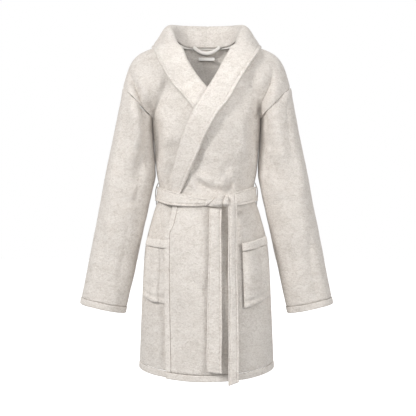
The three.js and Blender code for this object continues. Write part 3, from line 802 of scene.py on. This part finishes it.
pocket = {"mouth": -526.0, "seam": -549.0, "bottom": -691.0, "inner": 58.0, "outer": 20.0,
          "hidden": 44.0, "bulge": 11.0, "cloth": 5.2, "cuffCloth": 8.6, "across": 34, "down": 36,
          "lift": 3.2, "cuffRows": 6, "turned": 2, "tilt": 15, "sag": 3.0, "groove": (0.915, 2.6),
          # share of the thickness kept near the bottom and near the sides
          "row": {0: 0.6, 1: 0.8, 5: 0.7, 6: 0.5, 7: 0.8},
          "side": {0: 0.75, 1: 0.85, 2: 0.42, 3: 0.85}}


def pocketGrid(front, hand, flatFrom, top, bottom, rows, lift):
    # a patch that stands away from the front between its stitched sides
    patch = rows > pocket["cuffRows"]
    straight = rows - pocket["turned"] if patch else rows
    grid = []
    for j in range(rows + 1):
        row = []
        for i in range(pocket["across"] + 1):
            share = i / pocket["across"]
            degrees = mix(pocket["inner"], pocket["outer"], share)
            angle = math.radians(degrees)
            # the patch tilts down towards the middle, and its load makes the bottom sag
            down = min(j / straight, 1.0)
            under = max(j - straight, 0) / pocket["turned"]
            z = mix(top, bottom, down) + mix(-front["tilt"], front["tilt"] * 0.8, share)
            if patch:
                z += down * (pocket["tilt"] * (share - 0.5)
                             - pocket["sag"] * math.sin(math.pi * share))
            wide = through(body["widths"], z)
            deep = through(body["fronts"], z) - front["recess"]
            x, y = wide * math.cos(angle), deep * math.sin(angle)
            out = Vector((math.cos(angle) / wide, math.sin(angle) / deep)).normalized()
            start = min(pocket["inner"], flatFrom)
            share = min(max((start - degrees) / (start - pocket["outer"]), 0.0), 1.0)
            depth = mix(0.14, 1.0, down) if patch else 0.14 * down
            stand = math.sin(math.pi * share) ** 0.32 * (1 + 0.08 * ease(0.8, 0.93, depth))
            stand *= mix(0.62, 1.0, ease(0.1, 0.75, depth))
            uneven = 1 + 0.22 * noise.noise(Vector((x / 32, z / 24, front["seed"])))
            strokes = folds["left" if hand > 0 else "right"]
            swell = foldLift(x * hand, z, strokes, front["seed"], hand)
            spot, deepest = pocket["groove"]
            groove = deepest * math.exp(-((depth - spot) / 0.016) ** 2)
            stand = (pocket["bulge"] * stand * uneven - groove) * (1 - under) + lift + swell
            # the lip is turned under and sewn down
            z += 3.0 * under * under
            stand -= 2.6 * under
            row.append(((x + out.x * stand) * hand, -(y + out.y * stand), z))
        grid.append(row)
    return grid


def pocketThin(i, j):
    # stitched down along both sides and the bottom, six millimetres in
    side = min(j, pocket["across"] - j)
    return min(pocket["side"].get(side, 1.0), pocket["row"].get(pocket["down"] - i, 1.0))


def cuffThin(i, j):
    side = min(j, pocket["across"] - j)
    return (0.7, 0.9)[side] if side < 2 else 1.0


for word, hand, flatFrom in (("left", 1, 90), ("right", -1, pocket["hidden"])):
    front = fronts[word]
    grid = pocketGrid(front, hand, flatFrom, pocket["seam"] - 0.3, pocket["bottom"],
                      pocket["down"], pocket["lift"])
    addCloth(word + "Pocket", grid, pocket["cloth"], "pocket_" + word, "plush", thin=pocketThin)
    grid = pocketGrid(front, hand, flatFrom, pocket["mouth"], pocket["seam"] + 0.3,
                      pocket["cuffRows"], pocket["lift"] + 2.8)
    addCloth(word + "PocketCuff", grid, pocket["cuffCloth"], "pocket_cuff_" + word,
             "stitched_edge", thin=cuffThin)
print("pockets made")

belt = {
    "width": 40.0, "narrow": 16.0, "cloth": 5.6, "gap": 2.6, "dip": 23.0, "around": 150,
    "centre": -402, "top": -340, "bottom": -460, "knotX": 31.0, "face": 108.1, "endRows": 110,
    # distance in from each long edge and the share of the thickness kept there
    "edge": [(0, 0.7), (2.2, 1.0), (4.2, 0.6), (5.2, 0.2), (6.2, 0.6), (8.4, 1.0)],
}


def acrossBelt(width):
    # places across a belt strip from one edge to the other, with their thickness
    places = [(-width / 2 + gap, keep) for gap, keep in belt["edge"]]
    inner = width / 2 - belt["edge"][-1][0]
    places += [(-inner + inner * 2 * k / 5, 1.0) for k in range(1, 5)]
    return places + [(width / 2 - gap, keep) for gap, keep in reversed(belt["edge"])]


def beltGrid():
    grid = []
    for i in range(belt["around"]):
        angle = 2 * math.pi * i / belt["around"]
        forward = max(-math.sin(angle), 0.0)
        centre = belt["centre"] - belt["dip"] * forward ** 2
        front = math.sin(angle) < 0
        x = body["widths"][4][1] * math.cos(angle)
        reach = 84 if x < belt["knotX"] else 34
        near = math.exp(-((x - belt["knotX"]) / reach) ** 2) if front else 0.0
        width = mix(belt["width"], belt["narrow"], near)
        overCollar = ease(-112, -94, x) * (1 - ease(-70, -40, x)) if front else 0.0
        row = []
        for place, keep in acrossBelt(width):
            z = centre - place - 2.0 * near
            level = min(max(z, belt["bottom"]), belt["top"])
            wide = through(body["widths"], level)
            deep = through(body["fronts"] if front else body["backs"], level)
            lift = belt["gap"] + belt["cloth"] / 2 + 4.6 * overCollar + 2.2 * near
            spot = Vector((math.cos(angle) * 3, math.sin(angle) * 3, place / 60))
            lift += 1.3 * noise.noise(spot)
            pleat = 1.6 * near * math.sin(place * 0.55)
            # the strip leans out a little along its lower edge
            lift += 1.2 * ease(0, width / 2, place) + pleat
            row.append(((wide + lift) * math.cos(angle), (deep + lift) * math.sin(angle), z))
        grid.append(row)
    return grid


stripKeep = [keep for place, keep in acrossBelt(belt["width"])]


def stripThin(i, j):
    return stripKeep[j]


addCloth("beltWaist", beltGrid(), belt["cloth"], "belt_waist", "belt_cloth",
         thin=stripThin, loop=True)

ends = {
    "short": {"x": 24.0, "top": -441.0, "length": 437.0, "wide": (33.0, 41.0), "lean": -4.0,
              "turn": 0.0, "slant": 4.0, "seed": 31.0},
    "long": {"x": 68.5, "top": -404.5, "length": 503.0, "wide": (26.0, 29.0), "lean": 4.0,
             "turn": 0.42, "slant": -9.0, "seed": 37.0},
}


def endGrid(end):
    knotY = -(belt["face"] + 18.5)
    grid = []
    for i in range(belt["endRows"] + 1):
        u = i / belt["endRows"]
        width = mix(end["wide"][0], end["wide"][1], ease(0.0, 0.8, u))
        twist = end["turn"] * (1 - 0.35 * u) + 0.10 * math.sin(u * 6.0 + end["seed"])
        row = []
        for place, keep in acrossBelt(width):
            side = place / width
            sway = 1.6 * noise.noise(Vector((u * 5, end["seed"], 0.4)))
            crease = 1.7 * math.cos(side * 5.0) * (1 - ease(0.0, 0.5, u))
            buckle = 1.5 * noise.noise(Vector((u * 14, side * 2, end["seed"] + 3)))
            x = end["x"] + end["lean"] * u + sway + place * math.cos(twist)
            y = knotY + place * math.sin(twist) - 16 * u - crease - buckle
            z = end["top"] - end["length"] * u - end["slant"] * side * ease(0.93, 1.0, u)
            if end is ends["long"]:
                # comes out from behind the knot and turns down over the belt
                over = 1 - ease(0.0, 0.055, u)
                y += 9.0 * over
                x -= 7.0 * over * (0.5 - side)
            else:
                y += 5.0 * (1 - ease(0.0, 0.07, u))
            row.append((x, y, z))
        grid.append(row)
    return grid


def endThin(i, j):
    # a stitched turn across the tip
    tip = belt["endRows"] - i
    return stripKeep[j] * {0: 0.8, 1: 0.95, 2: 0.42}.get(tip, 1.0)


for name, end in ends.items():
    addCloth(name + "BeltEnd", endGrid(end), belt["cloth"] + 0.6, "belt_end_" + name,
             "belt_cloth", bodyName=name + "_belt_end", thin=endThin)
print("belt and its ends made")

knot = {"left": -5.0, "right": 60.0, "height": 17.0, "depth": 20.0, "rings": 64, "around": 56,
        "base": -430, "climb": 6.5, "forward": 16.5, "tip": 0.4,
        # creases where the cloth wraps: place, depth, slant, turn, width
        "wraps": [(0.26, 0.42, 0.16, 0.0, 0.045), (0.8, 0.34, 0.07, 0.8, 0.04)]}


def makeKnot():
    # the wrap of the knot: narrow where it leaves the belt, full at the middle
    points, faces = [], []
    rings, around = knot["rings"], knot["around"]
    for r in range(rings + 1):
        s = r / rings
        x = mix(knot["left"], knot["right"], s)
        swell = mix(0.42, 1.0, ease(0.0, 0.62, s)) * (1 - 0.22 * ease(0.75, 1.0, s))
        end = min(ease(-0.02, 0.05, s), ease(1.02, 0.95, s))
        tall = knot["height"] * swell * end + knot["tip"]
        deep = knot["depth"] * swell * end + knot["tip"]
        centre = knot["base"] + knot["climb"] * ease(0.0, 0.65, s)
        for k in range(around):
            angle = 2 * math.pi * k / around
            pinch = 0.045 * math.sin(5 * angle + 2.4 * s) + 0.03 * math.sin(8 * angle - 4 * s + 1)
            reach = 1 + pinch
            for spot, depth, slant, turn, width in knot["wraps"]:
                off = abs(s - spot - slant * math.sin(angle + turn))
                reach -= depth * math.exp(-off / width)
            soft = math.copysign(abs(math.cos(angle)) ** 0.85, math.cos(angle))
            y = -(belt["face"] + knot["forward"]) + deep * reach * soft
            points.append(toFrame((x, y, centre + tall * reach * math.sin(angle))))
    for r in range(rings):
        for k in range(around):
            a, b = r * around + k, r * around + (k + 1) % around
            faces.append((a, b, b + around, a + around))
    faces.append(tuple(range(around)))
    faces.append(tuple(rings * around + k for k in reversed(range(around))))
    piece = makeObject("beltKnot", points, faces)
    applyAll(piece)
    piece.data.materials.append(looks["belt_cloth"])
    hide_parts("belt_knot")
    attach(piece, "robe_body")


makeKnot()
print("knot made")

small = {"loopHalf": 38.0, "droop": 18.0, "loopWidth": 10.5, "loopCloth": 6.6, "hinge": 18.0,
         "tapeTop": 20.5, "tapeDrop": 9.6, "tapeCloth": 1.4, "labelWide": 46.0, "labelTall": 10.0,
         "labelTop": -10.5, "labelCloth": 1.0, "beltLoop": 8.0, "beltLoopTall": 31,
         "beltLoopOut": 12.4, "beltLoopBack": 10, "beltLoopCloth": 2.2}


def hangerGrid():
    grid = []
    for i in range(61):
        across = 2 * i / 60 - 1
        z = small["hinge"] - small["droop"] * (1 - across * across) - 0.4
        slope = 2 * small["droop"] * across / small["loopHalf"]
        out = Vector((-slope, 1)).normalized()
        row = []
        for k in range(7):
            place = small["loopWidth"] * (0.5 - k / 6)
            row.append((small["loopHalf"] * across + out.x * place,
                        inset + 1.0 * math.cos(across * 3) - 0.6, z + out.y * place))
        grid.append(row)
    return grid


addCloth("hangerLoop", hangerGrid(), small["loopCloth"], "hanger_loop", "tape", bodyName="loop",
         thin=lambda i, j: (0.55, 0.9, 1, 1, 1, 0.9, 0.55)[j])


def tapeGrid():
    rim = 6.2 - small["tapeCloth"] / 2
    grid = []
    for i in range(65):
        angle = math.radians(mix(28, 152, i / 64))
        grid.append([((88 - rim) * math.cos(angle), (70 - rim) * math.sin(angle),
                      small["tapeTop"] - small["tapeDrop"] * k / 5) for k in range(6)])
    return grid


addCloth("neckTape", tapeGrid(), small["tapeCloth"], "neck_tape", "tape")


def labelGrid():
    # sewn along its top edge, the rest curls a little off the cloth
    grid = []
    for i in range(17):
        v = i / 16
        row = []
        for k in range(25):
            x = small["labelWide"] * (k / 24 - 0.5)
            rest = 70 - 5.6 - 0.0042 * x * x
            y = rest - 0.6 - 5.5 * v ** 1.4 - 0.25 * math.sin(k * 0.7) * v
            row.append((x, y, small["labelTop"] - small["labelTall"] * v))
        grid.append(row)
    return grid


addCloth("neckLabel", labelGrid(), small["labelCloth"], "neck_label", "label")

for hand, word in ((1, "left"), (-1, "right")):
    grid = []
    for i in range(41):
        u = i / 40
        z = belt["centre"] + small["beltLoopTall"] * (1 - 2 * u)
        bulge = 1 - abs(1 - 2 * u) ** 2.6
        rest = through(body["widths"], z) + 1.4
        x = max(rest, mix(rest, body["widths"][4][1] + small["beltLoopOut"], bulge))
        grid.append([(x * hand, small["beltLoopBack"] + small["beltLoop"] * (k / 4 - 0.5), z)
                     for k in range(5)])
    addCloth(word + "BeltLoop", grid, small["beltLoopCloth"], "belt_loop_" + word,
             "belt_cloth")
print("tape, label and loops made")

# bare: rows at the knot without thread; column: the grooved one
stitch = {"length": 3.6, "step": 5.4, "wide": 1.0, "raise": 0.35, "bare": 8, "column": 3}


def seamLine(name, column=None, row=None, outward=(0, -1, 0)):
    # surface points along one column or row of a cloth, each with the way out of it
    front, back, rows, cols = clothFaces[name]
    if column is not None:
        picks = [i * cols + column % cols for i in range(rows)]
    else:
        picks = [(row % rows) * cols + j for j in range(cols)]
    line = []
    for k in picks:
        a, b = Vector(front[k]), Vector(back[k])
        out = (a - b).normalized()
        if outward is None:
            # round pieces: away from their upright middle
            away = Vector((a.x, a.y + inset * mm, 0))
        else:
            away = Vector(outward)
        line.append((a, out) if out.dot(away) > 0 else (b, -out))
    return line


boxFaces = ((0, 1, 2, 3), (7, 6, 5, 4), (0, 4, 5, 1), (1, 5, 6, 2), (2, 6, 7, 3), (3, 7, 4, 0))


def makeStitches(name, lines, bodyName):
    # short raised dashes of thread, evenly spaced along each line
    points, faces = [], []
    half, wide = stitch["length"] * mm / 2, stitch["wide"] * mm / 2
    for line in lines:
        gone, nextAt = 0.0, stitch["step"] * mm / 2
        for (a, outA), (b, outB) in zip(line, line[1:]):
            run = (b - a).length
            while run > 1e-6 and nextAt < gone + run:
                share = (nextAt - gone) / run
                along = (b - a) / run
                out = outA.lerp(outB, share).normalized()
                aside = along.cross(out).normalized() * wide
                rise = out * stitch["raise"] * mm
                spot = a.lerp(b, share)
                first = len(points)
                for lengthwise in (-1, 1):
                    end = spot + along * half * lengthwise
                    points += [end - aside - rise, end + aside - rise]
                    end = spot + along * half * 0.8 * lengthwise
                    points += [end + aside * 0.6 + rise, end - aside * 0.6 + rise]
                faces += [tuple(first + k for k in face) for face in boxFaces]
                nextAt += stitch["step"] * mm
            gone += run
    piece = makeObject(name, points, faces)
    piece.data.materials.append(thread)
    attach(piece, bodyName)


hands = ("left", "right")
grooved = (stitch["column"], -stitch["column"] - 1)
collarColumn = collar["columns"] + 2 + stitch["column"]
makeStitches("collarStitches", [seamLine(word + "Collar", collarColumn) for word in hands],
             "robe_body")
makeStitches("pocketStitches",
             [seamLine(word + "Pocket", column) for word in hands for column in (2, -3)]
             + [seamLine(word + "Pocket", row=pocket["down"] - 6) for word in hands]
             + [seamLine(word + "PocketCuff", row=5) for word in hands], "robe_body")
makeStitches("beltStitches", [seamLine("beltWaist", column, outward=None) for column in grooved],
             "robe_body")
for name in ends:
    makeStitches(name + "EndStitches",
                 [seamLine(name + "BeltEnd", column)[stitch["bare"]:]
                  for column in grooved]
                 + [seamLine(name + "BeltEnd", row=belt["endRows"] - 2)], name + "_belt_end")
print("stitches made")


studio = {
    "distance": 2.5, "lens": 77.3, "height": -0.442, "x": 0.004,
    "white": 0.42, "floorGlow": 0.8, "warm": (1.0, 0.98, 0.96),
    # place, size and power of each soft lamp
    "lamps": {
        "keyLight": ((-2.5, -2.7, 1.5), 1.0, 100.0), "fillLight": ((2.4, -2.2, 0.5), 1.4, 34.0),
        "frontLight": ((0.1, -3.2, 0.1), 1.0, 13.0), "backLight": ((0.8, 2.8, 1.0), 1.4, 26.0),
    },
    "neck": {"place": (0.0, -2.4, 0.12), "aim": (0, 0, -0.08), "power": 170.0, "angle": 4.2},
}


def makeFloor():
    bpy.ops.mesh.primitive_plane_add(size=14, location=(0, 0, -1.0))
    floor = bpy.context.object
    floor.name = "paleFloor"
    material, tree, shader = newMaterial("Pale floor")
    setInputs(shader, Base_Color=(0.86, 0.86, 0.86, 1), Roughness=0.9,
              Emission_Color=(1, 1, 1, 1), Emission_Strength=studio["floorGlow"])
    floor.data.materials.append(material)
    floor.visible_diffuse = False


def makeWorld():
    # white behind the robe, a softer white as its light
    world = bpy.data.worlds.new("Studio")
    world.use_nodes = True
    nodes, links = world.node_tree.nodes, world.node_tree.links
    soft, bright = nodes["Background"], nodes.new("ShaderNodeBackground")
    setInputs(soft, Color=(1, 1, 1, 1), Strength=studio["white"])
    setInputs(bright, Color=(1, 1, 1, 1), Strength=1.0)
    chosen = nodes.new("ShaderNodeMixShader")
    seen = nodes.new("ShaderNodeLightPath")
    for source, socket in zip((seen.outputs["Is Camera Ray"], soft.outputs[0], bright.outputs[0]),
                              chosen.inputs):
        links.new(source, socket)
    links.new(chosen.outputs[0], nodes["World Output"].inputs["Surface"])
    bpy.context.scene.world = world


makeFloor()
makeWorld()


def placeLamp(name, light, place, aim, power):
    light.energy = power
    lamp = bpy.data.objects.new(name, light)
    lamp.location = place
    lamp.rotation_euler = (Vector(aim) - Vector(place)).to_track_quat("-Z", "Y").to_euler()
    bpy.context.scene.collection.objects.link(lamp)


for name, (place, size, power) in studio["lamps"].items():
    light = bpy.data.lights.new(name, "AREA")
    light.shape = "DISK"
    light.size = size
    light.color = studio["warm"]
    placeLamp(name, light, place, (0, -inset * mm, -0.43), power)

# a narrow soft beam into the neck
light = bpy.data.lights.new("neckLight", "SPOT")
light.spot_size = math.radians(studio["neck"]["angle"])
light.spot_blend = 1.0
light.shadow_soft_size = 0.12
placeLamp("neckLight", light, studio["neck"]["place"], studio["neck"]["aim"],
          studio["neck"]["power"])

camera = bpy.data.cameras.new("Camera")
camera.lens = studio["lens"]
camera.sensor_width = 36
viewer = bpy.data.objects.new("Camera", camera)
viewer.location = (studio["x"], -inset * mm - studio["distance"], studio["height"])
viewer.rotation_euler = (math.pi / 2, 0, 0)
bpy.context.scene.collection.objects.link(viewer)
bpy.context.scene.camera = viewer
bpy.context.scene.view_settings.view_transform = "Standard"
